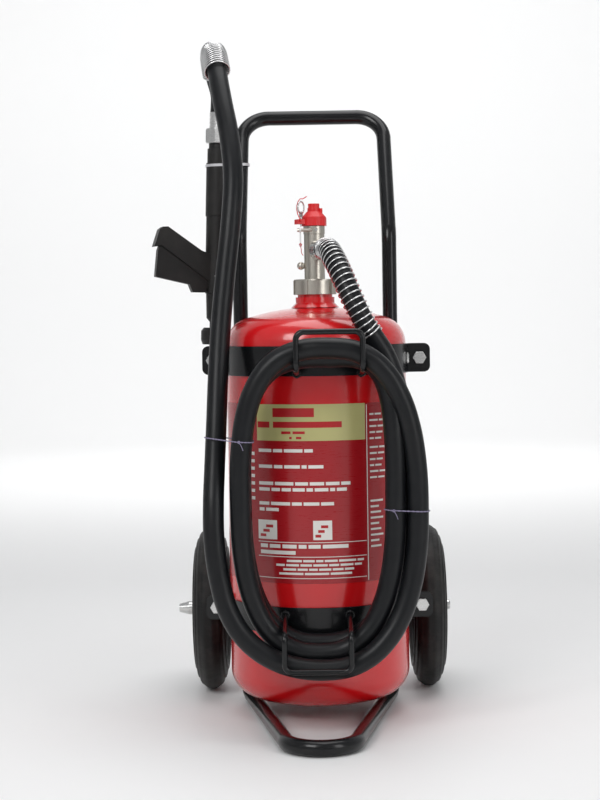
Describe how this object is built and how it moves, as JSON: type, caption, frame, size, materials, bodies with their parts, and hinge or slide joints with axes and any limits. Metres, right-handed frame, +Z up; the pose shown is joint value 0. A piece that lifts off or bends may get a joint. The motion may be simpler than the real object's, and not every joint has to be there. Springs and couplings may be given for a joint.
{
  "type": "wheeled fire extinguisher",
  "caption": "Red wheeled foam fire extinguisher on a black tube trolley, with a coiled black hose on two hooks, a trigger gun and a pinned valve knob.",
  "frame": {"origin": "on the ground under the cylinder's axis", "axes": "+Z up; the hose coil and the foot loop are on the -Y side and the wheels on the +Y side; the gun hangs on the -X side"},
  "size_m": [0.4559, 0.5761, 0.9964],
  "materials": {
    "red_paint": "gloss",
    "label_film": "gloss",
    "black_paint": "gloss",
    "nickel": "satin",
    "steel": "satin",
    "white_plastic": "matte",
    "clear_plastic": "gloss",
    "red_plastic": "satin",
    "black_plastic": "matte",
    "tyre": "matte",
    "black_rubber": "matte",
    "hose_rubber": "matte",
    "silver_tape": "satin",
    "twine": "matte"
  },
  "bodies": {
    "base": {"cylinder_shell": "red_paint", "neck_ring": "red_paint", "cylinder_label": "label_film", "neck_seal": "black_rubber", "coupling_nut": "nickel", "valve_body": "nickel", "dip_tube": "white_plastic", "dip_strainer": "white_plastic", "relief_plug": "nickel", "collar_screw": "steel", "lock_post": "nickel", "seal_strap": "clear_plastic", "outlet_nut": "steel", "outlet_washer": "black_rubber", "frame_handle": "black_paint", "frame_foot": "black_paint", "axle_bracket_left": "black_paint", "axle_bracket_right": "black_paint", "band_upper_front": "black_paint", "band_upper_rear": "black_paint", "band_lower_front": "black_paint", "band_lower_rear": "black_paint", "band_bolts": "steel", "band_nuts": "steel", "band_rivets": "steel", "hose_hook_upper": "black_paint", "hose_hook_lower": "black_paint", "axle": "steel", "axle_spacers": "black_paint", "axle_washers": "steel", "axle_circlip": "steel", "gun_body": "black_plastic", "gun_barrel": "black_plastic", "nozzle_ring": "black_plastic", "gun_tie": "silver_tape", "trigger_pin": "steel", "plunger_spring": "steel", "gun_hex_nut": "steel", "hose_ferrule": "steel", "hose_lead": "hose_rubber", "hose_coil": "hose_rubber", "hose_tail": "hose_rubber", "lead_guard": "steel", "tail_guard": "steel", "hose_ties": "twine"},
    "wheel_left": {"tyre_left": "tyre", "hub_left": "black_plastic", "bush_left": "white_plastic"},
    "wheel_right": {"tyre_right": "tyre", "hub_right": "black_plastic", "bush_right": "white_plastic"},
    "knob": {"valve_knob": "red_plastic"},
    "stem": {"valve_stem": "steel", "stem_seal": "black_rubber", "stem_disc": "black_rubber"},
    "pin": {"safety_pin": "steel", "pull_ring": "steel", "tamper_seal": "red_plastic"},
    "trigger": {"gun_trigger": "black_plastic"},
    "plunger": {"gun_plunger": "steel"}
  },
  "joints": [
    {"name": "wheel_left_turn", "type": "hinge", "parent": "base", "child": "wheel_left", "pos_m": [-0.168, 0.16, 0.125], "axis": [1, 0, 0], "continuous": true},
    {"name": "wheel_right_turn", "type": "hinge", "parent": "base", "child": "wheel_right", "pos_m": [0.168, 0.16, 0.125], "axis": [1, 0, 0], "continuous": true},
    {"name": "knob_turn", "type": "hinge", "parent": "base", "child": "knob", "pos_m": [0, 0, 0.715], "axis": [0, 0, 1], "range_deg": [0, 90]},
    {"name": "stem_rise", "type": "slide", "parent": "base", "child": "stem", "axis": [0, 0, 1], "range_m": [0, 0.0025]},
    {"name": "pin_pull", "type": "slide", "parent": "knob", "child": "pin", "axis": [0, 0, 1], "range_m": [0, 0.035]},
    {"name": "trigger_squeeze", "type": "hinge", "parent": "base", "child": "trigger", "pos_m": [-0.15732, 0.16371, 0.6432], "axis": [-0.2587, 0.9659, 0.009], "range_deg": [0, 9], "stiffness_Nm_per_rad": 1.2, "springref_deg": -8.59},
    {"name": "plunger_push", "type": "slide", "parent": "base", "child": "plunger", "axis": [-0.0349, 0, -0.9994], "range_m": [0, 0.0018], "deforming": ["plunger_spring"]}
  ],
  "couplings": [
    {"joint": "knob_turn", "follows": "stem_rise", "rad_per_m": 625},
    {"joint": "plunger_push", "follows": "trigger_squeeze", "m_per_rad": 0.011}
  ]
}
